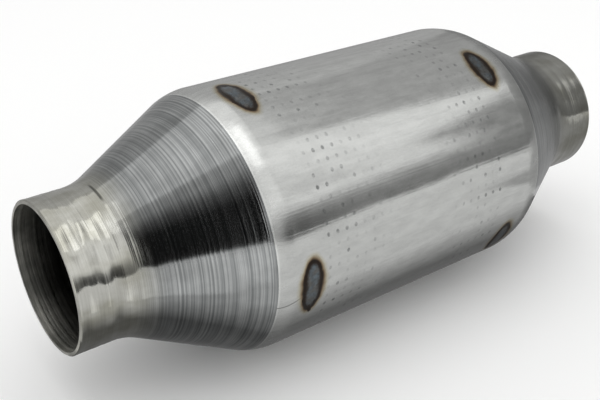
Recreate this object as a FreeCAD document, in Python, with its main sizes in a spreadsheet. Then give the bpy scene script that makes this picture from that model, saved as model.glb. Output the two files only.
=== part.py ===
"""Catalytic converter with a spun can, a welded-in mantle and a wound metal honeycomb.

The gas flows along +X, +Z is up and the origin is the centre of the inlet mouth.
Clock angles turn about the X axis: 0 points up, and a positive angle leans to -Y.
Lengths are in millimetres and angles in degrees.
"""
import FreeCAD, Part
import Sketcher
import math
import os

SIZES = {
    # pipe joints at both ends
    "pipe_radius": 31.75,
    "pipe_clearance": 0.25,
    "neck_wall": 1.8,
    "neck_length": 24.0,
    "rim_chamfer": 0.5,
    # spun can
    "body_radius": 62.0,
    "body_length": 152.6,
    "cone_length": 54.2,
    "can_wall": 1.5,
    "neck_bend": 22.0,
    "shoulder_bend": 23.5,
    # plug welds and the slots that they fill
    "welds_per_end": 4,
    "weld_setback": 7.0,
    "inlet_clock_degrees": 7.0,
    "outlet_clock_degrees": 30.0,
    "slot_width": 10.6,
    "inlet_slot_length": 26.5,
    "outlet_slot_length": 21.5,
    "slot_tip": 4.2,
    "weld_clearance": 0.1,
    "weld_sink": 0.35,
    # mantle that carries the honeycomb
    "mantle_gap": 0.25,
    "mantle_wall": 1.5,
    "mantle_setback": 1.0,
    # wound honeycomb
    "foil_width": 108.0,
    "foil_turns": 8,
    "foil_gap": 0.15,
    "flat_thickness": 0.3,
    "wave_thickness": 0.25,
    "wave_length": 9.5,
    "eye_radius": 5.0,
}

BORE_RADIUS = "(Sizes.pipe_radius + Sizes.pipe_clearance)"
NECK_RADIUS = f"({BORE_RADIUS} + Sizes.neck_wall)"
RIM_RADIUS = f"({NECK_RADIUS} - Sizes.rim_chamfer)"
SHOULDER_IN = "(Sizes.neck_length + Sizes.cone_length)"
SHOULDER_OUT = f"({SHOULDER_IN} + Sizes.body_length)"
CONE_END = f"({SHOULDER_OUT} + Sizes.cone_length)"
LENGTH = f"({CONE_END} + Sizes.neck_length)"
CAN_BORE = "(Sizes.body_radius - Sizes.can_wall)"
CONE_TURN = f"atan(({CAN_BORE} - {BORE_RADIUS}) / Sizes.cone_length)"
BEND_RUN = f"((Sizes.shoulder_bend - Sizes.can_wall) * tan({CONE_TURN} / 2))"
MANTLE_RADIUS = f"({CAN_BORE} - Sizes.mantle_gap)"
MANTLE_BORE = f"({MANTLE_RADIUS} - Sizes.mantle_wall)"
MANTLE_START = f"({SHOULDER_IN} + {BEND_RUN} + Sizes.mantle_setback)"
MANTLE_END = f"({SHOULDER_OUT} - {BEND_RUN} - Sizes.mantle_setback)"
WELD_FOOT = f"({MANTLE_RADIUS} + Sizes.weld_clearance)"
WELD_FACE = "(Sizes.body_radius - Sizes.weld_sink)"
WELD_PLACE = {
    "inlet": f"({MANTLE_START} + Sizes.weld_setback)",
    "outlet": f"({MANTLE_END} - Sizes.weld_setback)",
}

doc = FreeCAD.newDocument("catalytic_converter")


def make_sheet():
    """Put every driving size into the spreadsheet under its own alias."""
    sheet = doc.addObject("Spreadsheet::Sheet", "Sizes")
    for row, (name, size) in enumerate(SIZES.items(), start=1):
        sheet.set(f"A{row}", name)
        sheet.set(f"B{row}", str(size))
        sheet.setAlias(f"B{row}", name)
    doc.recompute()
    return sheet


def value(expression):
    """Number that an expression of the sheet's sizes gives now."""
    found = sheet.evalExpression(expression)
    return float(getattr(found, "Value", found))


def origin_part(body, role):
    """Plane or axis of a body's own origin."""
    return next(f for f in body.Origin.OriginFeatures if f.Role == role)


def new_body(label):
    body = doc.addObject("PartDesign::Body", label)
    body.Label = label
    return body


def new_sketch(body, name, plane):
    sketch = body.newObject("Sketcher::SketchObject", f"{body.Name}_{name}")
    sketch.AttachmentSupport = [(origin_part(body, plane), "")]
    sketch.MapMode = "FlatFace"
    return sketch


def bound(sketch, constraint, expression):
    """Add a sketch dimension and tie it to the sheet."""
    index = sketch.addConstraint(constraint)
    sketch.setExpression(f"Constraints[{index}]", expression)


def rounding(before, corner, after, radius):
    """Arc that rounds a corner, its two tangent points and the way it turns."""
    back = (before - corner).normalize()
    ahead = (after - corner).normalize()
    half = back.getAngle(ahead) / 2
    run = radius / math.tan(half)
    start = corner + back * run
    end = corner + ahead * run
    centre = corner + (back + ahead).normalize() * (radius / math.sin(half))
    turns_left = (corner - start).cross(end - corner).z > 0
    first, last = (start, end) if turns_left else (end, start)
    angles = [math.atan2(p.y - centre.y, p.x - centre.x) for p in (first, last)]
    circle = Part.Circle(centre, FreeCAD.Vector(0, 0, 1), radius)
    return Part.ArcOfCircle(circle, *angles), start, end, turns_left


def add_outline(sketch, corners):
    """Closed outline of straight sides; a corner is x, y and, where it is round, a radius."""
    places = [FreeCAD.Vector(value(c[0]), value(c[1]), 0) for c in corners]
    count = len(corners)
    arcs = {}
    for i, corner in enumerate(corners):
        if len(corner) == 3:
            around = (places[i - 1], places[i], places[(i + 1) % count])
            arcs[i] = rounding(*around, value(corner[2]))
    first = sketch.GeometryCount
    for i in range(count):
        after = (i + 1) % count
        start = arcs[i][2] if i in arcs else places[i]
        end = arcs[after][1] if after in arcs else places[after]
        sketch.addGeometry(Part.LineSegment(start, end), False)
    for i, corner in enumerate(corners):
        side_in = first + (i - 1) % count
        side_out = first + i
        if i in arcs:
            arc, _, _, turns_left = arcs[i]
            arc_id = sketch.addGeometry(arc, False)
            mark = sketch.addGeometry(Part.Point(places[i]), True)
            near, far = (1, 2) if turns_left else (2, 1)
            sketch.addConstraint(Sketcher.Constraint("Tangent", side_in, 2, arc_id, near))
            sketch.addConstraint(Sketcher.Constraint("Tangent", arc_id, far, side_out, 1))
            sketch.addConstraint(Sketcher.Constraint("PointOnObject", mark, 1, side_in))
            sketch.addConstraint(Sketcher.Constraint("PointOnObject", mark, 1, side_out))
            bound(sketch, Sketcher.Constraint("Radius", arc_id, value(corner[2])), corner[2])
        else:
            mark = side_out
            sketch.addConstraint(Sketcher.Constraint("Coincident", side_in, 2, side_out, 1))
        for kind, axis, expression in zip(("DistanceX", "DistanceY"), (-2, -1), corner):
            size = value(expression)
            if size == 0:
                sketch.addConstraint(Sketcher.Constraint("PointOnObject", mark, 1, axis))
            else:
                bound(sketch, Sketcher.Constraint(kind, -1, 1, mark, 1, size), expression)


def add_oval(sketch, length, width, tip):
    """Four-arc oval about the sketch's origin, long along Y; sizes are expressions."""
    reach = f"({length} / 2 - {tip})"
    flank = f"(({reach} ^ 2 + ({width} / 2) ^ 2 - {tip} ^ 2) / ({width} - 2 * {tip}))"
    offset = f"({flank} - {width} / 2)"
    reach_now, flank_now, offset_now, tip_now = map(value, (reach, flank, offset, tip))
    turn = math.atan2(reach_now, offset_now)
    quarter = math.pi / 2
    normal = FreeCAD.Vector(0, 0, 1)
    arcs = (
        (-offset_now, 0, flank_now, -turn, turn),
        (0, reach_now, tip_now, turn, 2 * quarter - turn),
        (offset_now, 0, flank_now, 2 * quarter - turn, 2 * quarter + turn),
        (0, -reach_now, tip_now, 2 * quarter + turn, 4 * quarter - turn),
    )
    for x, y, radius, start, end in arcs:
        circle = Part.Circle(FreeCAD.Vector(x, y, 0), normal, radius)
        sketch.addGeometry(Part.ArcOfCircle(circle, start, end), False)
    for i in range(4):
        sketch.addConstraint(Sketcher.Constraint("Tangent", i, 2, (i + 1) % 4, 1))
    for end_arc in (1, 3):
        sketch.addConstraint(Sketcher.Constraint("PointOnObject", end_arc, 3, -2))
    sketch.addConstraint(Sketcher.Constraint("Equal", 1, 3))
    sketch.addConstraint(Sketcher.Constraint("Equal", 0, 2))
    bound(sketch, Sketcher.Constraint("Radius", 1, tip_now), tip)
    bound(sketch, Sketcher.Constraint("DistanceY", -1, 1, 1, 3, reach_now), reach)
    bound(sketch, Sketcher.Constraint("DistanceY", 3, 3, -1, 1, reach_now), reach)
    bound(sketch, Sketcher.Constraint("Radius", 0, flank_now), flank)


def revolve(body, name, sketch, kind="PartDesign::Revolution"):
    """Full turn of a sketch about the flow axis."""
    feature = body.newObject(kind, f"{body.Name}_{name}")
    feature.Profile = sketch
    feature.ReferenceAxis = (origin_part(body, "X_Axis"), [""])
    feature.Angle = 360.0
    doc.recompute()
    return feature


def clocked_sketch(body, name, end, clock):
    """Sketch that faces outwards at a clock angle, centred on one end's welds."""
    sketch = new_sketch(body, name, "XY_Plane")
    turn = FreeCAD.Rotation(FreeCAD.Vector(1, 0, 0), value(clock))
    sketch.AttachmentOffset = FreeCAD.Placement(FreeCAD.Vector(), turn)
    sketch.setExpression("AttachmentOffset.Base.x", WELD_PLACE[end])
    sketch.setExpression("AttachmentOffset.Rotation.Angle", f"({clock}) * 1 deg")
    return sketch


def cut_slots(can, end):
    """Oval slots through the can wall, evenly round one end."""
    sketch = clocked_sketch(can, f"{end}_slot_outline", end, f"Sizes.{end}_clock_degrees")
    add_oval(sketch, f"Sizes.{end}_slot_length", "Sizes.slot_width", "Sizes.slot_tip")
    whole = can.Tip.Shape.Volume
    pocket = can.newObject("PartDesign::Pocket", f"{can.Name}_{end}_slot")
    pocket.Profile = sketch
    pocket.Reversed = True
    pocket.setExpression("Length", "Sizes.body_radius + Sizes.can_wall")
    doc.recompute()
    pattern = can.newObject("PartDesign::PolarPattern", f"{can.Name}_{end}_slots")
    pattern.Originals = [pocket]
    pattern.Axis = (origin_part(can, "X_Axis"), [""])
    pattern.Angle = 360.0
    pattern.setExpression("Occurrences", "Sizes.welds_per_end")
    can.Tip = pattern
    doc.recompute()
    one = math.pi / 4 * value(f"Sizes.{end}_slot_length * Sizes.slot_width * Sizes.can_wall")
    removed = whole - pattern.Shape.Volume
    if removed < 0.9 * one * value("Sizes.welds_per_end"):
        raise RuntimeError(f"{end} slots removed only {removed:.0f} mm3")


def make_can():
    """One-piece spun can: neck, flare, cone, shoulder and barrel, then the same mirrored."""
    can = new_body("outer_can")
    sketch = new_sketch(can, "section", "XZ_Plane")
    bend = "Sizes.neck_bend"
    shoulder = "Sizes.shoulder_bend"
    outside = [("0", RIM_RADIUS), ("Sizes.rim_chamfer", NECK_RADIUS),
               ("Sizes.neck_length", NECK_RADIUS, bend),
               (SHOULDER_IN, "Sizes.body_radius", shoulder),
               (SHOULDER_OUT, "Sizes.body_radius", shoulder),
               (CONE_END, NECK_RADIUS, bend),
               (f"({LENGTH} - Sizes.rim_chamfer)", NECK_RADIUS), (LENGTH, RIM_RADIUS)]
    bend = "(Sizes.neck_bend + Sizes.neck_wall)"
    shoulder = "(Sizes.shoulder_bend - Sizes.can_wall)"
    inside = [(LENGTH, BORE_RADIUS), (CONE_END, BORE_RADIUS, bend),
              (SHOULDER_OUT, CAN_BORE, shoulder), (SHOULDER_IN, CAN_BORE, shoulder),
              ("Sizes.neck_length", BORE_RADIUS, bend), ("0", BORE_RADIUS)]
    add_outline(sketch, outside + inside)
    revolve(can, "spinning", sketch)
    for end in ("inlet", "outlet"):
        cut_slots(can, end)


def make_weld(end, number):
    """Plug weld: an oval nugget that stands on the mantle and fills one slot."""
    weld = new_body(f"{end}_weld_{number}")
    clock = f"Sizes.{end}_clock_degrees + {number - 1} * 360 / Sizes.welds_per_end"
    outline = clocked_sketch(weld, "outline", end, clock)
    shrink = "2 * Sizes.weld_clearance"
    add_oval(outline, f"(Sizes.{end}_slot_length - {shrink})",
             f"(Sizes.slot_width - {shrink})", "(Sizes.slot_tip - Sizes.weld_clearance)")
    pad = weld.newObject("PartDesign::Pad", f"{weld.Name}_nugget")
    pad.Profile = outline
    pad.setExpression("Length", "Sizes.body_radius + Sizes.can_wall")
    doc.recompute()
    trim = new_sketch(weld, "trim", "XZ_Plane")
    left = f"({WELD_PLACE[end]} - Sizes.slot_width)"
    right = f"({WELD_PLACE[end]} + Sizes.slot_width)"
    top = "(Sizes.body_radius + 2 * Sizes.can_wall)"
    add_outline(trim, [(left, "0"), (right, "0"), (right, WELD_FOOT), (left, WELD_FOOT)])
    add_outline(trim, [(left, WELD_FACE), (right, WELD_FACE), (right, top), (left, top)])
    revolve(weld, "seat_and_face", trim, "PartDesign::Groove")


def make_mantle():
    """Tube that slides into the barrel, carries the honeycomb and takes the plug welds."""
    mantle = new_body("mantle_tube")
    sketch = new_sketch(mantle, "section", "XZ_Plane")
    add_outline(sketch, [(MANTLE_START, MANTLE_BORE), (MANTLE_END, MANTLE_BORE),
                         (MANTLE_END, MANTLE_RADIUS), (MANTLE_START, MANTLE_RADIUS)])
    revolve(mantle, "tube", sketch)


class Winding:
    """Spiral of half circles about two centres, which winds both foils from the eye."""

    def __init__(self):
        self.turns = int(value("Sizes.foil_turns"))
        self.eye = value("Sizes.eye_radius")
        rim = value(f"{MANTLE_BORE} - Sizes.foil_gap - Sizes.flat_thickness / 2")
        self.pitch = (rim - self.eye) / (self.turns - 0.25)
        self.start = value(f"{LENGTH} / 2 - Sizes.foil_width / 2")

    def centre(self, half):
        return self.pitch / 4 if half % 2 else -self.pitch / 4

    def radius(self, half):
        return self.eye + half * self.pitch / 2

    def point(self, half, angle, lift=0.0):
        """Point of half turn number `half`, `angle` radians into it and lifted outwards."""
        reach = self.radius(half) + lift
        turn = half * math.pi + angle
        y = self.centre(half) + reach * math.cos(turn)
        return FreeCAD.Vector(self.start, y, reach * math.sin(turn))

    def extrude(self, wire):
        width = value("Sizes.foil_width")
        return Part.Face(wire).extrude(FreeCAD.Vector(width, 0, 0))


def make_flat_foil(winding):
    """Smooth foil strip, wound into a spiral that fills the mantle."""
    half_thickness = value("Sizes.flat_thickness") / 2
    halves = range(2 * winding.turns)

    def arc(half, lift):
        ends = [winding.point(half, angle, lift) for angle in (0, math.pi / 2, math.pi)]
        return Part.Arc(*ends).toShape()

    outside = [arc(half, half_thickness) for half in halves]
    inside = [arc(half, -half_thickness) for half in halves]
    caps = []
    for half, angle in ((0, 0.0), (halves[-1], math.pi)):
        low = winding.point(half, angle, -half_thickness)
        high = winding.point(half, angle, half_thickness)
        caps.append(Part.LineSegment(low, high).toShape())
    wire = Part.Wire(Part.__sortEdges__(outside + inside + caps))
    foil = doc.addObject("Part::Feature", "flat_foil")
    foil.Shape = winding.extrude(wire)


def make_wave_foil(winding):
    """Corrugated foil strip, wound between the turns of the flat foil."""
    thickness = value("Sizes.wave_thickness")
    crest = (winding.pitch - value("Sizes.flat_thickness") - thickness) / 2
    crest -= value("Sizes.foil_gap")
    phases = ((1 / 8, crest), (3 / 8, crest), (5 / 8, -crest), (7 / 8, -crest))
    middle = []
    for half in range(2 * winding.turns - 2):
        lane = winding.radius(half) + winding.pitch / 2
        waves = max(3, round(math.pi * lane / value("Sizes.wave_length")))
        for wave in range(waves):
            for phase, lift in phases:
                angle = math.pi * (wave + phase) / waves
                middle.append(winding.point(half, angle, winding.pitch / 2 + lift))
    left = offset_line(middle, thickness / 2)
    right = offset_line(middle, -thickness / 2)
    outline = left + right[::-1]
    wire = Part.makePolygon(outline + outline[:1])
    foil = doc.addObject("Part::Feature", "corrugated_foil")
    foil.Shape = winding.extrude(wire)


def offset_line(points, distance):
    """Points of a line that runs beside another at an even distance, with mitred corners."""
    shifted = []
    for i, point in enumerate(points):
        before = points[max(i - 1, 0)]
        after = points[min(i + 1, len(points) - 1)]
        into = (point - before) if i else (after - point)
        away = (after - point) if i < len(points) - 1 else (point - before)
        into.normalize()
        away.normalize()
        along = into + away
        along.normalize()
        side = FreeCAD.Vector(0, -along.z, along.y)
        shifted.append(point + side * (distance / along.dot(into)))
    return shifted


def write_parts():
    """Check every object, then write one STEP file for each sub-part."""
    doc.recompute()
    for item in doc.Objects:
        if {"Invalid", "Error"} & set(item.State):
            raise RuntimeError(f"{item.Label} failed: {item.State}")
    pieces = [o for o in doc.Objects if o.TypeId in ("PartDesign::Body", "Part::Feature")]
    for piece in pieces:
        if piece.Shape.isNull() or not piece.Shape.isValid() or len(piece.Shape.Solids) != 1:
            raise RuntimeError(f"{piece.Label} has no single valid solid")
    os.makedirs("parts", exist_ok=True)
    for piece in pieces:
        piece.Shape.exportStep(f"parts/{piece.Label}.step")
        print(f"{piece.Label:18s} {piece.Shape.Volume:12.1f} mm3")


sheet = make_sheet()
make_can()
make_mantle()
winding = Winding()
make_flat_foil(winding)
make_wave_foil(winding)
for end in ("inlet", "outlet"):
    for number in range(1, int(value("Sizes.welds_per_end")) + 1):
        make_weld(end, number)
write_parts()
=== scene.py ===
import math
import random

import bmesh
import bpy
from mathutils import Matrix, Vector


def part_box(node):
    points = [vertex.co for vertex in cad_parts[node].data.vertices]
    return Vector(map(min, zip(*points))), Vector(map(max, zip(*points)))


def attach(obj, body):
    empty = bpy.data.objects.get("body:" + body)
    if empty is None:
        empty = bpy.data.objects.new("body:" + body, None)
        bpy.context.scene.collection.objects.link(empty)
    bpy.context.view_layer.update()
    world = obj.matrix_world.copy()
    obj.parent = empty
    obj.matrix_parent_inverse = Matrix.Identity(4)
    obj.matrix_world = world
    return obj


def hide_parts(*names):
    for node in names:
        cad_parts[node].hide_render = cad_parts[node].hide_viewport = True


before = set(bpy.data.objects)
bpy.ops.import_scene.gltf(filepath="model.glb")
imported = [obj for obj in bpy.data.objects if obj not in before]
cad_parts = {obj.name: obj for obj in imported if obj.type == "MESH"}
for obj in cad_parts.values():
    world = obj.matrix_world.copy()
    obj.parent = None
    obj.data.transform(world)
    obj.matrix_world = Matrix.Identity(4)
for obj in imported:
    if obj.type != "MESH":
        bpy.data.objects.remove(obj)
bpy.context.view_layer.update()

# ---------------------------------------------------------------------------
# Studio camera: off the inlet mouth and above the can, looking down on it, so that
# the inlet is near, the barrel runs away to the right and the outlet ends it.
# ---------------------------------------------------------------------------
look_down, look_right = 27.68, 36.96
scene = bpy.context.scene
scene.view_settings.view_transform = "Standard"
lens = bpy.data.cameras.new("studio_camera")
lens.sensor_width = 36
lens.lens = 55.0
camera = bpy.data.objects.new("studio_camera", lens)
camera.location = (-0.1072, -0.3165, 0.2030)
camera.rotation_euler = (math.radians(90 - look_down), 0, math.radians(-look_right))
scene.collection.objects.link(camera)
scene.camera = camera


# ---------------------------------------------------------------------------
# Studio floor: a wide sheet of pale paper that the barrel rests on.
# It isn't part of the converter and keeps the converter's shadow.
# ---------------------------------------------------------------------------
def deselect():
    """Leave object mode with nothing selected."""
    if bpy.context.object and bpy.context.object.mode != "OBJECT":
        bpy.ops.object.mode_set(mode="OBJECT")
    bpy.ops.object.select_all(action="DESELECT")


def bare_material(name):
    """Node material with only its output: returns it, its nodes, links and output."""
    material = bpy.data.materials.new(name)
    material.use_nodes = True
    nodes = material.node_tree.nodes
    nodes.clear()
    output = nodes.new("ShaderNodeOutputMaterial")
    return material, nodes, material.node_tree.links, output


paper_size = 12
paper_colour = (0.95, 0.95, 0.945, 1)
floor_gap = 0.0001
can_low, can_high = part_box("outer_can")
can_length = can_high[0] - can_low[0]
can_middle = (can_low[0] + can_high[0]) / 2
floor_height = can_low[2] - floor_gap
deselect()
bpy.ops.mesh.primitive_plane_add(size=paper_size, location=(can_middle, 0, floor_height))
floor = bpy.context.object
floor.name = "studio_floor"
bpy.ops.object.transform_apply(location=True)
floor_paper, nodes, links, output = bare_material("floor_paper")
paper = nodes.new("ShaderNodeBsdfDiffuse")
paper.inputs["Color"].default_value = paper_colour
links.new(paper.outputs["BSDF"], output.inputs["Surface"])
floor.data.materials.append(floor_paper)

# ---------------------------------------------------------------------------
# Studio surroundings: white all round, with grey and black boards that only the
# polished steel sees. They hang round the converter to give metal its dark bands.
# ---------------------------------------------------------------------------
fill_tone, backdrop_tone = 0.92, 1
world = bpy.data.worlds.new("studio_world")
scene.world = world
world.use_nodes = True
nodes, links = world.node_tree.nodes, world.node_tree.links
nodes.clear()
path = nodes.new("ShaderNodeLightPath")
shown = path.outputs["Is Camera Ray"]
for ray in ("Is Glossy Ray", "Is Transmission Ray"):
    either = nodes.new("ShaderNodeMath")
    either.operation = "MAXIMUM"
    links.new(shown, either.inputs[0])
    links.new(path.outputs[ray], either.inputs[1])
    shown = either.outputs[0]
surroundings = nodes.new("ShaderNodeMixShader")
links.new(shown, surroundings.inputs["Fac"])
for socket, tone in zip(surroundings.inputs[1:], (fill_tone, backdrop_tone)):
    background = nodes.new("ShaderNodeBackground")
    background.inputs["Color"].default_value = (tone, tone, tone, 1)
    links.new(background.outputs["Background"], socket)
world_output = nodes.new("ShaderNodeOutputWorld")
links.new(surroundings.outputs["Shader"], world_output.inputs["Surface"])


def studio_board(name, corners, tones):
    """Board that only gloss sees, low edge first; its tones are set from 0, low, to 1, high."""
    deselect()
    bpy.ops.mesh.primitive_plane_add(size=1)
    board = bpy.context.object
    board.name = name
    order = ((-1, -1), (1, -1), (1, 1), (-1, 1))
    for vertex in board.data.vertices:
        side = (round(vertex.co.x * 2), round(vertex.co.y * 2))
        vertex.co = corners[order.index(side)]
    paint, nodes, links, output = bare_material(f"{name}_paint")
    place = nodes.new("ShaderNodeTexCoord")
    height = nodes.new("ShaderNodeSeparateXYZ")
    links.new(place.outputs["UV"], height.inputs["Vector"])
    fade = nodes.new("ShaderNodeValToRGB")
    bands = fade.color_ramp.elements
    for stop, (where, tone) in enumerate(tones):
        band = bands[stop] if stop < 2 else bands.new(where)
        band.position = where
        band.color = (tone, tone, tone, 1)
    links.new(height.outputs["Y"], fade.inputs["Fac"])
    glow = nodes.new("ShaderNodeEmission")
    links.new(fade.outputs["Color"], glow.inputs["Color"])
    links.new(glow.outputs["Emission"], output.inputs["Surface"])
    board.data.materials.append(paint)
    board.visible_camera = False
    board.visible_diffuse = False
    board.visible_shadow = False


def upright(start, end, low, start_top, end_top):
    """Corners of a board that stands over a line on the floor, with a level low edge."""
    return (*start, low), (*end, low), (*end, end_top), (*start, start_top)


def lying(start, end, far, height):
    """Corners of a mat on the floor, from a near edge to a far one along the flow."""
    return (*start, height), (*end, height), (end[0], far, height), (start[0], far, height)


base = floor_height + floor_gap
left_side, right_side, near_side, far_side = -1.9, 1.9, -1.6, 1.6
side_end = -0.62
board_gap, mat_gap = 0.01, 0.0001

# Before the inlet: the black board gives the near cone its dark wedge.
studio_board("black_board", ((left_side, -0.75, base + 0.10), (-0.28, -1.20, base + 0.10),
                             (-0.20, -0.68, 2.50), (-1.6, -0.42, 2.50)),
             ((0, 0.01), (0.32, 0.02), (0.46, 0.14), (0.64, 0.46), (1, 0.64)))

# Along the near side: a long board that pales upwards for the front of the barrel, a
# grey screen behind it, and a dark board before it for the stripe on the inlet neck.
studio_board("front_board", upright((-0.30, near_side), (5.0, near_side),
                                    base + 0.08, 0.65, 1.35),
             ((0, 0.20), (0.35, 0.33), (0.75, 0.77), (1, 1.0)))
screen_side = near_side - board_gap
studio_board("grey_screen", ((0.90, screen_side, 0.85), (1.54, screen_side, 0.95),
                             (1.54, screen_side, 2.2), (0.90, screen_side, 2.2)),
             ((0, 0.78), (1, 0.74)))
stripe_side = near_side + board_gap
studio_board("neck_board", upright((0.30, stripe_side), (1.04, stripe_side),
                                   base + 0.02, 0.50, 0.50),
             ((0, 0.04), (0.6, 0.10), (1, 0.30)))

# Beyond the outlet and behind the converter: greys for the far end and the top.
studio_board("right_board", upright((right_side, side_end), (right_side, 2.2), base, 3.1, 3.1),
             ((0, 0.18), (0.2, 0.28), (0.45, 0.45), (1, 0.50)))
studio_board("side_board", upright((right_side, near_side), (right_side, side_end),
                                   base, 1.35, 1.35),
             ((0, 0.20), (1, 0.30)))
studio_board("back_board", upright((right_side, far_side), (-3.0, far_side), base, 1.8, 1.4),
             ((0, 0.40), (1, 0.60)))

# On the floor: a mat that is pale in front and grey behind, a white one at the inlet, a grey
# one at the outlet, and a dark one that paints the barrel's shadow on the paper for the steel
# to reflect.
studio_board("floor_mat", lying((left_side, near_side), (right_side, near_side),
                                far_side, base),
             ((0, 0.80), (0.45, 0.72), (0.53, 0.42), (1, 0.46)))
studio_board("far_mat", lying((0.335, -0.20), (right_side, -0.80),
                              far_side, base + 2 * mat_gap),
             ((0, 0.40), (0.2, 0.34), (1, 0.36)))
studio_board("left_mat", lying((left_side, near_side), (0.03, near_side), -0.115,
                               base + 2 * mat_gap),
             ((0, 1.0), (1, 1.0)))
studio_board("shade_mat", lying((-0.03, -0.10), (0.32, -0.10), 0.10, base + mat_gap),
             ((0, 0.70), (0.10, 0.47), (0.24, 0.14), (0.76, 0.14), (0.90, 0.40), (1, 0.58)))


def soft_box(name, width, length, place, aim, power):
    """Rectangular lamp at a place, turned towards an aim point."""
    lamp = bpy.data.lights.new(name, "AREA")
    lamp.shape = "RECTANGLE"
    lamp.size = width
    lamp.size_y = length
    lamp.energy = power
    box = bpy.data.objects.new(name, lamp)
    scene.collection.objects.link(box)
    box.location = place
    across, along, up = (a - p for a, p in zip(aim, place))
    box.rotation_euler = (math.atan2(math.hypot(across, along), -up), 0,
                          math.atan2(-across, along))
    return box


# One wide lamp lights the whole, and two weak strips add gleams to neck and shoulder.
lamp_height = 1.4
overhead_box = soft_box("overhead_box", width=1.5, length=1.5, power=4.0,
                        place=(can_middle, -0.1, lamp_height), aim=(can_middle, 0, 0))
overhead_box.visible_glossy = False
soft_box("left_strip", width=0.13, length=1.0, power=0.34,
         place=(-0.10, -0.20, lamp_height), aim=(-0.10, -0.20, 0))
near_strip = soft_box("near_strip", width=0.060, length=0.20, power=0.036,
                      place=(0.110, -0.080, 0.30), aim=(0.110, -0.080, 0))
near_strip.visible_camera = False
near_strip.visible_diffuse = False

# ---------------------------------------------------------------------------
# Can: one stainless tube. Its barrel keeps the drawn skin of the tube, and both
# ends are spun down with a roller to a cone and a neck that slips over the pipe.
# ---------------------------------------------------------------------------
neck_length = 0.0240
cone_length = 0.0542
crown_stand = 0.0002
body_radius = (can_high[2] - can_low[2]) / 2 - crown_stand
neck_radius = 0.0338
can_wall = 0.0013
neck_wall = 0.0018
rim_chamfer = 0.0005
inner_lip = 0.012
shoulder_run, shoulder_steps = 0.00575, 12
neck_run, neck_steps = 0.00538, 10
around = 256
barrel_length = can_length - 2 * (neck_length + cone_length)


def pick_hoop(piece, place, radius=None):
    """In edit mode, select the hoop of edges at a place along the flow."""
    place_slack, radius_slack = 1e-6, 1e-5
    mesh = bmesh.from_edit_mesh(piece.data)
    bpy.ops.mesh.select_mode(type="VERT")
    bpy.ops.mesh.select_all(action="DESELECT")
    for vertex in mesh.verts:
        reach = math.hypot(vertex.co.y, vertex.co.z)
        other_wall = radius is not None and abs(reach - radius) > radius_slack
        vertex.select = abs(vertex.co.x - place) < place_slack and not other_wall
    mesh.select_flush(True)
    bmesh.update_edit_mesh(piece.data)
    bpy.ops.mesh.select_mode(type="EDGE")


def squeeze(scale):
    """Scale what is selected about the flow axis."""
    bpy.ops.transform.resize(value=(1, scale, scale), center_override=(can_middle, 0, 0))


def pull_hoop(run, from_radius=1, to_radius=1):
    """Extrude the selected hoop along the flow and draw it to another radius."""
    bpy.ops.mesh.extrude_region_move(TRANSFORM_OT_translate={"value": (run, 0, 0)})
    if to_radius != from_radius:
        squeeze(to_radius / from_radius)


def roll_rings(piece, start, end, count, depth, luck):
    """Cut a stretch of the outer wall into rings and press them in by uneven depths."""
    slack = 1e-4
    mesh = bmesh.from_edit_mesh(piece.data)
    bpy.ops.mesh.select_mode(type="EDGE")
    bpy.ops.mesh.select_all(action="DESELECT")
    for edge in mesh.edges:
        first, last = sorted(v.co.x for v in edge.verts)
        runs_through = last - first > 0.9 * (end - start)
        edge.select = start - slack < first and last < end + slack and runs_through
    bmesh.update_edit_mesh(piece.data)
    bpy.ops.mesh.subdivide(number_cuts=count - 1, smoothness=0)
    rings = {}
    for vertex in bmesh.from_edit_mesh(piece.data).verts:
        if start + 2 * slack < vertex.co.x < end - 2 * slack:
            rings.setdefault(round(vertex.co.x, 6), []).append(vertex)
    for place in sorted(rings):
        reach = math.hypot(rings[place][0].co.y, rings[place][0].co.z)
        bpy.ops.mesh.select_all(action="DESELECT")
        for vertex in rings[place]:
            vertex.select = True
        squeeze(1 - depth * luck.random() / reach)


deselect()
bpy.ops.mesh.primitive_cylinder_add(
    vertices=around, radius=body_radius, depth=barrel_length, end_fill_type="NOTHING",
    location=(can_middle, 0, 0), rotation=(0, math.pi / 2, 0))
can = bpy.context.object
can.name = "spun_can"
bpy.ops.object.transform_apply(location=True, rotation=True)
bpy.ops.object.mode_set(mode="EDIT")
for end in (-1, 1):
    shoulder = can_middle + end * barrel_length / 2
    cone_tip = shoulder + end * cone_length
    pick_hoop(can, shoulder)
    pull_hoop(end * cone_length, body_radius, neck_radius)
    pull_hoop(end * (neck_length - rim_chamfer))
    pull_hoop(end * rim_chamfer, neck_radius, neck_radius - rim_chamfer)
    pull_hoop(0, neck_radius - rim_chamfer, neck_radius - neck_wall)
    pull_hoop(-end * neck_length)
    pull_hoop(-end * cone_length, neck_radius - neck_wall, body_radius - can_wall)
    pull_hoop(-end * inner_lip)
    pick_hoop(can, cone_tip, neck_radius)
    bpy.ops.mesh.bevel(offset_type="OFFSET", offset=neck_run, segments=neck_steps, profile=0.5)
    pick_hoop(can, shoulder, body_radius)
    bpy.ops.mesh.bevel(offset_type="OFFSET", offset=shoulder_run, segments=shoulder_steps,
                       profile=0.5)

# The roller stops in the bend of each shoulder, where the drawn skin begins.
roller_stop = 0.0750
for place in (roller_stop, can_length - roller_stop):
    bpy.ops.mesh.select_mode(type="VERT")
    bpy.ops.mesh.select_all(action="SELECT")
    bpy.ops.mesh.bisect(plane_co=(place, 0, 0), plane_no=(1, 0, 0))

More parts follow.
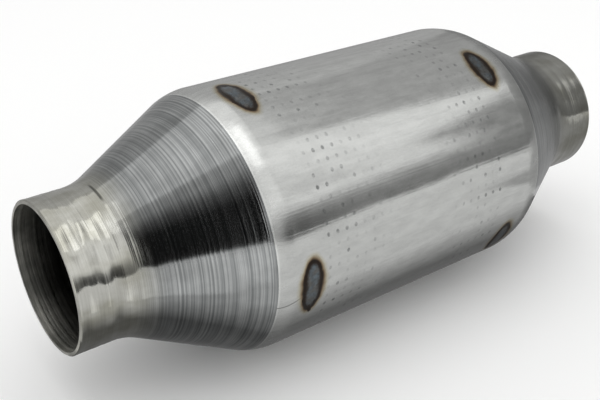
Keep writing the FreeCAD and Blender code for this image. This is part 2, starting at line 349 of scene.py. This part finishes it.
# Its turns stand as rings, few and deep on the necks, many and shallow on the cones.
neck_rings, neck_press = 15, 0.00014
cone_rings, cone_press = 64, 0.00002
cone_slope = math.atan2(body_radius - neck_radius, cone_length)
cone_start = neck_length + neck_run * math.cos(cone_slope)
cone_end = neck_length + cone_length - shoulder_run * math.cos(cone_slope)
press = random.Random(11)
for neck in ((rim_chamfer, neck_length - neck_run),
             (can_length - neck_length + neck_run, can_length - rim_chamfer)):
    roll_rings(can, *neck, neck_rings, neck_press, press)
for cone in ((cone_start, cone_end), (can_length - cone_end, can_length - cone_start)):
    roll_rings(can, *cone, cone_rings, cone_press, press)
bpy.ops.object.mode_set(mode="OBJECT")
bpy.ops.object.shade_smooth_by_angle(angle=math.radians(30))
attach(can, "root")
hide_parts("outer_can")


class Recipe:
    """Node material under construction. Its methods add nodes and return their output."""

    def __init__(self, name):
        self.material, self.nodes, self.links, self.output = bare_material(name)
        place = self.nodes.new("ShaderNodeTexCoord")
        split = self.nodes.new("ShaderNodeSeparateXYZ")
        self.place = place.outputs["Object"]
        self.links.new(self.place, split.inputs["Vector"])
        self.x, self.y, self.z = split.outputs

    def feed(self, socket, given):
        """Link a socket to another node's output, or set it to a plain value."""
        if isinstance(given, bpy.types.NodeSocket):
            self.links.new(given, socket)
        else:
            socket.default_value = given

    def take(self, operation, *given):
        node = self.nodes.new("ShaderNodeMath")
        node.operation = operation
        for socket, one in zip(node.inputs, given):
            self.feed(socket, one)
        return node.outputs[0]

    def add(self, total, *others):
        for other in others:
            total = self.take("ADD", total, other)
        return total

    def times(self, product, *others):
        for other in others:
            product = self.take("MULTIPLY", product, other)
        return product

    def minus(self, value, other):
        return self.take("SUBTRACT", value, other)

    def over(self, value, other):
        return self.take("DIVIDE", value, other)

    def off(self, value, place):
        """How far a value is from a place, either way."""
        return self.take("ABSOLUTE", self.minus(value, place))

    def reach(self, one_way, other_way):
        """Straight distance from two distances at right angles."""
        squares = (self.take("POWER", way, 2.0) for way in (one_way, other_way))
        return self.take("SQRT", self.add(*squares))

    def ramp(self, given, start, end, low=0.0, high=1.0):
        """Smooth change from low to high while the given value goes from start to end."""
        node = self.nodes.new("ShaderNodeMapRange")
        node.interpolation_type = "SMOOTHSTEP"
        self.feed(node.inputs["Value"], given)
        for socket, one in zip(("From Min", "From Max", "To Min", "To Max"),
                               (start, end, low, high)):
            self.feed(node.inputs[socket], one)
        return node.outputs["Result"]

    def noise(self, spots, detail=2.0):
        """Mottle with so many spots per metre along each axis."""
        mapping = self.nodes.new("ShaderNodeMapping")
        mapping.inputs["Scale"].default_value = spots
        self.links.new(self.place, mapping.inputs["Vector"])
        node = self.nodes.new("ShaderNodeTexNoise")
        node.inputs["Scale"].default_value = 1
        node.inputs["Detail"].default_value = detail
        self.links.new(mapping.outputs["Vector"], node.inputs["Vector"])
        return node.outputs["Fac"]

    def swing(self, noise, low=0.0, high=1.0):
        """Noise, which keeps mostly between 0.3 and 0.7, spread from low to high."""
        return self.ramp(noise, 0.3, 0.7, low, high)

    def chance(self, across, along):
        """Random number from 0 to 1 for each cell of a grid."""
        cell = self.nodes.new("ShaderNodeCombineXYZ")
        self.feed(cell.inputs["X"], across)
        self.feed(cell.inputs["Y"], along)
        node = self.nodes.new("ShaderNodeTexWhiteNoise")
        self.links.new(cell.outputs["Vector"], node.inputs["Vector"])
        return node.outputs["Value"]

    def mix(self, factor, first, second, kind="MIX"):
        node = self.nodes.new("ShaderNodeMix")
        node.data_type = "RGBA"
        node.blend_type = kind
        self.feed(node.inputs["Factor"], factor)
        self.feed(node.inputs["A"], first)
        self.feed(node.inputs["B"], second)
        return next(o for o in node.outputs if o.type == "RGBA")

    def mottled(self, noise, dark, light):
        """Colour that wanders between two as a noise does."""
        return self.mix(self.swing(noise), dark, light)

    def shaded(self, colour, strength):
        """Colour made darker or brighter by a changing strength."""
        grey = self.nodes.new("ShaderNodeCombineColor")
        for socket in grey.inputs:
            self.feed(socket, strength)
        return self.mix(1.0, colour, grey.outputs["Color"], "MULTIPLY")

    def metal(self, colour, roughness, relief, depth, stretch=0.0):
        """Steel with a relief so deep in metres, its gloss drawn out along the flow."""
        shader = self.nodes.new("ShaderNodeBsdfPrincipled")
        shader.inputs["Metallic"].default_value = 1
        shader.inputs["Anisotropic"].default_value = stretch
        shader.inputs["Anisotropic Rotation"].default_value = 0.25
        self.feed(shader.inputs["Base Color"], colour)
        self.feed(shader.inputs["Roughness"], roughness)
        if stretch:
            tangent = self.nodes.new("ShaderNodeTangent")
            tangent.direction_type = "RADIAL"
            tangent.axis = "X"
            self.links.new(tangent.outputs["Tangent"], shader.inputs["Tangent"])
        bump = self.nodes.new("ShaderNodeBump")
        bump.inputs["Distance"].default_value = depth
        self.links.new(relief, bump.inputs["Height"])
        self.links.new(bump.outputs["Normal"], shader.inputs["Normal"])
        self.links.new(shader.outputs["BSDF"], self.output.inputs["Surface"])
        return self.material


def clock_degrees(recipe):
    """Angle round the flow axis: 0 on top, growing towards -Y."""
    turn = recipe.take("ARCTAN2", recipe.times(recipe.y, -1.0), recipe.z)
    return recipe.times(turn, 180 / math.pi)


def from_mouth(recipe):
    """Metres along the flow from the nearer mouth."""
    return recipe.minus(can_length / 2, recipe.off(recipe.x, can_middle))


def from_weld(recipe, clock, count):
    """Millimetres outwards from the edge of the nearest of so many plug welds at each end."""
    spacing = 360 / count
    outwards = []
    for weld in ("inlet_weld_1", "outlet_weld_1"):
        low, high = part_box(weld)
        place = (low[0] + high[0]) / 2
        side, up = (low[1] + high[1]) / 2, (low[2] + high[2]) / 2
        start = math.degrees(math.atan2(-side, up))
        half_width = (high[0] - low[0]) / 2 * 1000
        half_length = math.hypot(high[1] - low[1], high[2] - low[2]) / 2 * 1000
        turned = recipe.add(clock, 720 - start + spacing / 2)
        turned = recipe.minus(recipe.take("MODULO", turned, spacing), spacing / 2)
        along = recipe.times(turned, math.radians(1) * body_radius * 1000)
        across = recipe.times(recipe.minus(recipe.x, place), 1000)
        far = recipe.reach(along, across)
        oval = recipe.reach(recipe.over(along, half_length), recipe.over(across, half_width))
        inner_share = recipe.over(1.0, recipe.take("MAXIMUM", oval, 0.01))
        outwards.append(recipe.times(far, recipe.minus(1.0, inner_share)))
    return recipe.take("MINIMUM", *outwards)


# Drawn barrel skin: pale steel with a faint mottle and brush lines along the tube.
pale_steel = (0.615, 0.622, 0.605, 1)
skin = Recipe("drawn_steel")
clock = clock_degrees(skin)
mottle = skin.noise((90, 260, 260), 3)
streaks = skin.noise((14, 900, 900), 2)
grain = skin.noise((1300, 1800, 1800), 2)
tone = skin.add(skin.swing(mottle, -0.06, 0.06), skin.swing(streaks, -0.02, 0.02),
                skin.swing(grain, -0.03, 0.03))
steel = skin.shaded(pale_steel, skin.add(tone, 1.0))

# A grid of small stains, in columns along the tube and rows round it. It fades in the
# middle and is heavy in a few rows. A row counts for less than it measures, so that
# the stains are ovals.
stain_grey = (0.09, 0.10, 0.10, 1)
first_column, column_pitch, column_count = 0.1005, 0.00495, 22
first_row, row_pitch = -3.5, 360 / 76
column_millimetres, row_millimetres = 4.95, 4.3
heavy_clock, heavy_gain = 68.5, 0.55
column = skin.over(skin.minus(skin.x, first_column), column_pitch)
row = skin.over(skin.add(clock, 360 - first_row), row_pitch)
column_number, row_number = skin.take("ROUND", column), skin.take("ROUND", row)
stain_reach = skin.reach(skin.times(skin.minus(column, column_number), column_millimetres),
                         skin.times(skin.minus(row, row_number), row_millimetres))
in_grid = skin.times(skin.take("GREATER_THAN", column_number, -0.5),
                     skin.take("LESS_THAN", column_number, column_count - 0.5))
near_fade = skin.ramp(skin.x, first_column - 0.002, first_column + 0.045, 1.0, 0.0)
far_fade = skin.ramp(skin.x, 0.165, 0.200, 0.0, 0.9)
fade = skin.take("MAXIMUM", near_fade, far_fade)
row_luck = skin.ramp(skin.chance(row_number, 7.0), 0.15, 0.9, 0.25, 0.9)
stain_luck = skin.ramp(skin.chance(column_number, row_number), 0.05, 0.6)
heavy_rows = skin.ramp(skin.off(clock, heavy_clock), 4.0, 6.0, heavy_gain, 0.0)
strength = skin.add(skin.times(fade, row_luck), skin.times(heavy_rows, fade))
smudge = skin.ramp(skin.noise((700, 700, 700), 2), 0.35, 0.6, 0.45, 1.0)
stains = skin.times(skin.ramp(stain_reach, 0.55, 1.05, 1.0, 0.0), in_grid,
                    skin.times(strength, stain_luck), smudge)
stained = skin.mix(skin.times(stains, 0.80), steel, stain_grey)

# A painted highlight runs as a bright line where the roller stopped, and a thin scratch runs to
# one of the inlet welds.
roller_highlight, scratch_grey = (0.84, 0.85, 0.83, 1), (0.12, 0.12, 0.11, 1)
past_roller = skin.minus(from_mouth(skin), roller_stop)
stop_highlight = skin.ramp(past_roller, 0.0004, 0.0010, 1.0, 0.0)
marked = skin.mix(skin.times(stop_highlight, 0.5), stained, roller_highlight)
scratch_end = 0.088
scratch_clock = skin.ramp(skin.x, 0.076, 0.090, 103.0, 100.0)
scratch = skin.times(skin.ramp(skin.off(clock, scratch_clock), 0.12, 0.4, 1.0, 0.0),
                     skin.take("LESS_THAN", skin.x, scratch_end))
marked = skin.mix(skin.times(scratch, 0.7), marked, scratch_grey)

# Each weld burnt a ring into the skin round it: char, then brown, then straw.
weld_count = 4
straw, brown, char = (0.46, 0.41, 0.26, 1), (0.20, 0.12, 0.06, 1), (0.03, 0.024, 0.02, 1)
burnt = skin.add(from_weld(skin, clock, weld_count),
                 skin.swing(skin.noise((240, 240, 240), 1), -0.3, 0.3))
scorched = skin.mix(skin.ramp(burnt, 1.0, 4.4, 0.7, 0.0), marked, straw)
scorched = skin.mix(skin.ramp(burnt, 0.4, 2.6, 0.8, 0.0), scorched, brown)
scorched = skin.mix(skin.ramp(burnt, -0.3, 1.2, 1.0, 0.0), scorched, char)
skin_roughness = skin.add(skin.ramp(mottle, 0.2, 0.8, 0.13, 0.18),
                          skin.times(skin.ramp(burnt, 0.4, 2.4, 1.0, 0.0), 0.25),
                          skin.times(stains, 0.15),
                          skin.ramp(past_roller, 0.003, 0.013, 0.10, 0.0))
dents = skin.noise((22, 40, 40), 1)
skin_relief = skin.add(skin.times(streaks, 0.5), skin.times(mottle, 0.7),
                       skin.times(dents, 4.0), skin.times(grain, 0.10))
drawn_steel = skin.metal(scorched, skin_roughness, skin_relief, depth=0.00005, stretch=0.3)

# Rolled skin of the cones and necks: fine turns of the roller all round, warmer and
# wavy at the necks, where the tube was worked most.
cone_dark, cone_light = (0.22, 0.23, 0.23, 1), (0.47, 0.48, 0.475, 1)
neck_dark, neck_light = (0.43, 0.42, 0.35, 1), (0.65, 0.645, 0.59, 1)
rolled = Recipe("rolled_steel")
turns = rolled.noise((1400, 5, 5), 4)
coarse_turns = rolled.noise((420, 3, 3), 2)
worn = rolled.noise((60, 90, 90), 3)
from_middle = rolled.off(rolled.x, can_middle)
neck_part = rolled.ramp(from_middle, 0.118, 0.134)
# Towards the necks the cones are painted darker, as painted shade, and they also darken in
# random patches.
cone_shade_and_patches = rolled.times(rolled.ramp(from_middle, 0.085, 0.125, 1.0, 0.82),
                      rolled.swing(worn, 0.86, 1.08))
cone_tone = rolled.shaded(rolled.mottled(turns, cone_dark, cone_light), cone_shade_and_patches)
# The necks wander between two tones, and the outlet neck is painted darker than the inlet one,
# as painted shade.
neck_tone = rolled.shaded(rolled.mottled(worn, neck_dark, neck_light),
                          rolled.ramp(rolled.x, 0.15, 0.29, 1.0, 0.78))
rolled_tone = rolled.mix(rolled.times(neck_part, 0.75), cone_tone, neck_tone)
wavy_part = rolled.times(neck_part, rolled.ramp(rolled.x, 0.1, 0.2, 1.0, 0.3))
waves = rolled.times(rolled.noise((170, 45, 45), 0), wavy_part)
rolled_relief = rolled.add(rolled.times(turns, 0.8), rolled.times(coarse_turns, 0.8),
                           rolled.times(waves, 18.0))

# A short crease runs across the top of the inlet flare: its dark line is painted shade, and its
# dent is a bump.
crease_clock, crease_place = 7.0, 0.0246
crease_shade_grey = (0.06, 0.06, 0.05, 1)
crease_round = rolled.off(clock_degrees(rolled), crease_clock)
crease_along = rolled.off(rolled.x, crease_place)
crease = rolled.times(rolled.ramp(crease_round, 7.0, 14.0, 1.0, 0.0),
                      rolled.ramp(crease_along, 0.0001, 0.0007, 1.0, 0.0))
rolled_tone = rolled.mix(rolled.times(crease, 0.85), rolled_tone, crease_shade_grey)
rolled_relief = rolled.minus(rolled_relief, rolled.times(crease, 3.0))
rolled_roughness = rolled.ramp(turns, 0.2, 0.8, 0.10, 0.16)
rolled_steel = rolled.metal(rolled_tone, rolled_roughness, rolled_relief,
                            depth=0.00008, stretch=0.5)

# Inside, the tube keeps the mandrel's rings and is dark with scale from the furnace. It is
# painted lighter at the mouths and darker further in, as painted shade in the bore.
scale_dark, scale_light = (0.17, 0.17, 0.155, 1), (0.30, 0.295, 0.27, 1)
scaled = Recipe("scaled_steel")
mandrel = scaled.noise((600, 4, 4), 2)
blotches = scaled.noise((80, 80, 80), 3)
scale_and_bore_shade = scaled.shaded(scaled.mottled(blotches, scale_dark, scale_light),
                           scaled.ramp(from_mouth(scaled), 0.002, 0.016, 2.6, 0.40))
scaled_steel = scaled.metal(scale_and_bore_shade, scaled.swing(mandrel, 0.35, 0.55), mandrel,
                            depth=0.0002)

# The rims and all that faces the axis are scaled, and the rest is rolled or drawn.
skins = [drawn_steel, rolled_steel, scaled_steel]
for finish in skins:
    can.data.materials.append(finish)
for face in can.data.polygons:
    centre = face.center
    slack = 1e-4 * math.hypot(centre.y, centre.z)
    outward = face.normal.y * centre.y + face.normal.z * centre.z
    is_rim = abs(face.normal.x) > 0.99
    if is_rim or outward < -slack:
        face.material_index = skins.index(scaled_steel)
    elif not roller_stop < centre.x < can_length - roller_stop:
        face.material_index = skins.index(rolled_steel)

# ---------------------------------------------------------------------------
# Mantle: a plain rolled tube inside the barrel that carries the honeycomb.
# It is held by the plug welds and is only seen from the mouths.
# ---------------------------------------------------------------------------
mantle_wall = 0.0015
mantle_dark, mantle_light = (0.24, 0.23, 0.20, 1), (0.34, 0.33, 0.30, 1)
mantle_skin = Recipe("mantle_steel")
bands = mantle_skin.noise((500, 6, 6), 2)
mantle_steel = mantle_skin.metal(mantle_skin.mottled(bands, mantle_dark, mantle_light),
                                 mantle_skin.swing(bands, 0.3, 0.45), bands, depth=0.0001)
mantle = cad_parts["mantle_tube"]
mantle.data.materials.clear()
mantle.data.materials.append(mantle_steel)

# ---------------------------------------------------------------------------
# Flat foil: the smooth one of two thin strips of heat-proof steel that are wound
# together into the honeycomb. Its washcoat makes it dull and brown.
# ---------------------------------------------------------------------------
foil_low, foil_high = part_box("flat_foil")
foil_width = foil_high[0] - foil_low[0]
mantle_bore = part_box("mantle_tube")[1][2] - mantle_wall
foil_clearance = 0.0004
foil_eye = 0.0040
foil_pitch = 0.0024
flat_sheet = 0.00012
foil_turns = (mantle_bore - foil_clearance - foil_eye) / foil_pitch
steps_per_turn = 60


def wound_strip(name, places, sheet):
    """Strip as thick as its sheet, wound along a path across the flow."""
    deselect()
    path = bpy.data.curves.new(name, "CURVE")
    path.dimensions = "2D"
    path.fill_mode = "NONE"
    path.extrude = foil_width / 2
    line = path.splines.new("POLY")
    line.points.add(len(places) - 1)
    for point, (y, z) in zip(line.points, places):
        point.co = (y, z, 0, 1)
    strip = bpy.data.objects.new(name, path)
    scene.collection.objects.link(strip)
    bpy.context.view_layer.objects.active = strip
    strip.select_set(True)
    bpy.ops.object.convert(target="MESH")
    strip = bpy.context.object
    strip.name = name
    strip.location.x = (foil_low[0] + foil_high[0]) / 2
    strip.rotation_euler = (math.pi / 2, 0, math.pi / 2)
    bpy.ops.object.transform_apply(location=True, rotation=True)
    thickness = strip.modifiers.new("sheet", "SOLIDIFY")
    thickness.thickness = sheet
    thickness.offset = 0
    bpy.ops.object.modifier_apply(modifier=thickness.name)
    bpy.ops.object.mode_set(mode="EDIT")
    bpy.ops.mesh.select_all(action="SELECT")
    bpy.ops.mesh.normals_make_consistent(inside=False)
    bpy.ops.object.mode_set(mode="OBJECT")
    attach(strip, "root")
    return strip


def lane(angle):
    """Radius of the winding after so much turning."""
    return foil_eye + foil_pitch * angle / (2 * math.pi)


places = []
steps = int(foil_turns * steps_per_turn)
for step in range(steps + 1):
    angle = 2 * math.pi * foil_turns * step / steps
    places.append((lane(angle) * math.cos(angle), lane(angle) * math.sin(angle)))
flat_foil = wound_strip("wound_flat_foil", places, flat_sheet)
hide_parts("flat_foil")
bpy.ops.object.shade_smooth_by_angle(angle=math.radians(30))

coat_dark, coat_light = (0.20, 0.17, 0.13, 1), (0.33, 0.29, 0.24, 1)
washcoat = Recipe("foil_washcoat")
coat_spots = washcoat.noise((500, 500, 500), 3)
foil_washcoat = washcoat.metal(washcoat.mottled(coat_spots, coat_dark, coat_light),
                               washcoat.swing(coat_spots, 0.5, 0.65), coat_spots, depth=0.00005)
flat_foil.data.materials.append(foil_washcoat)

# ---------------------------------------------------------------------------
# Corrugated foil: the second strip, pressed into waves and wound between the turns
# of the smooth one, so that each wave makes a channel for the gas.
# ---------------------------------------------------------------------------
wave_length = 0.0032
wave_sheet = 0.00010
wave_steps = 8
wave_start = 0.35
crest_clearance = 0.00003
crest = (foil_pitch - flat_sheet - wave_sheet) / 2 - crest_clearance
places = []
angle, wave_turn = wave_start, 0.0
while angle < 2 * math.pi * (foil_turns - 1):
    reach = lane(angle) + foil_pitch / 2 + crest * math.sin(wave_turn)
    places.append((reach * math.cos(angle), reach * math.sin(angle)))
    angle += wave_length / wave_steps / (lane(angle) + foil_pitch / 2)
    wave_turn += 2 * math.pi / wave_steps
wave_foil = wound_strip("wound_wave_foil", places, wave_sheet)
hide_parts("corrugated_foil")
bpy.ops.object.shade_smooth_by_angle(angle=math.radians(50))
wave_foil.data.materials.append(foil_washcoat)

# ---------------------------------------------------------------------------
# Plug welds: four at each end, run through slots in the barrel onto the mantle to
# lock it. Each is an oval bead of filler that froze in ripples under a burnt rim.
# ---------------------------------------------------------------------------
bead_height = 0.00110
bead_depth = 0.00095
bead_spread = 1.85
bead_spacing = 0.05
ripple_height = 0.0003
ripple = bpy.data.textures.new("weld_ripple", "CLOUDS")
ripple.noise_scale = 0.0026
ripple.noise_depth = 1


def weld_bead(node, name, number):
    """Crowned oval bead in the slot of one weld node, rippled and bent round the barrel."""
    low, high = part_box(node)
    side, up = (low[1] + high[1]) / 2, (low[2] + high[2]) / 2
    width = (high[0] - low[0]) * bead_spread
    length = math.hypot(high[1] - low[1], high[2] - low[2]) * bead_spread
    deselect()
    bpy.ops.mesh.primitive_uv_sphere_add(segments=56, ring_count=28, radius=0.5,
                                         rotation=(math.pi / 2, 0, 0))
    bead = bpy.context.object
    bead.name = name
    bead.scale = (width, length, 2 * bead_height)
    bead.location = (bead_spacing * number, bead_depth, 0)
    bpy.ops.object.transform_apply(location=False)
    froze = bead.modifiers.new("ripples", "DISPLACE")
    froze.texture = ripple
    froze.texture_coords = "GLOBAL"
    froze.direction = "Y"
    froze.mid_level = 0.5
    froze.strength = ripple_height
    bpy.ops.object.modifier_apply(modifier=froze.name)
    bead.location.x = 0
    bpy.ops.object.transform_apply(location=True)
    ends = [v.co.z for v in bead.data.vertices]
    wrap = bead.modifiers.new("round_the_barrel", "SIMPLE_DEFORM")
    wrap.deform_method = "BEND"
    wrap.deform_axis = "X"
    wrap.angle = (max(ends) - min(ends)) / body_radius
    bpy.ops.object.modifier_apply(modifier=wrap.name)
    bead.location = ((low[0] + high[0]) / 2, -body_radius, 0)
    bpy.ops.object.transform_apply(location=True)
    bead.rotation_euler.x = math.atan2(-side, up) - math.pi / 2
    bpy.ops.object.transform_apply()
    bpy.ops.object.shade_smooth()
    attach(bead, "root")
    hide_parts(node)
    return bead


# The filler is blue-grey in the middle, spotted with slag, and charred at its edge.
warm_grey, blue_grey = (0.15, 0.15, 0.145, 1), (0.15, 0.18, 0.20, 1)
slag_grey, rim_char = (0.05, 0.047, 0.044, 1), (0.034, 0.024, 0.018, 1)
filler = Recipe("weld_filler")
slag = filler.noise((900, 900, 900), 3)
edge = filler.add(from_weld(filler, clock_degrees(filler), weld_count),
                  filler.swing(slag, -0.2, 0.2))
cloud = filler.ramp(filler.noise((230, 230, 230), 2), 0.35, 0.65)
middle = filler.mix(cloud, warm_grey, blue_grey)
middle = filler.mix(filler.ramp(slag, 0.3, 0.8, 0.0, 0.6), middle, slag_grey)
filler_tone = filler.mix(filler.ramp(edge, -4.4, -1.1), middle, rim_char)
weld_filler = filler.metal(filler_tone, filler.ramp(edge, -3.4, -0.8, 0.20, 0.50), slag,
                           depth=0.00006)
for bead_number in range(2 * weld_count):
    flow_end = "inlet" if bead_number < weld_count else "outlet"
    number = bead_number % weld_count + 1
    bead = weld_bead(f"{flow_end}_weld_{number}", f"{flow_end}_bead_{number}", bead_number + 1)
    bead.data.materials.append(weld_filler)
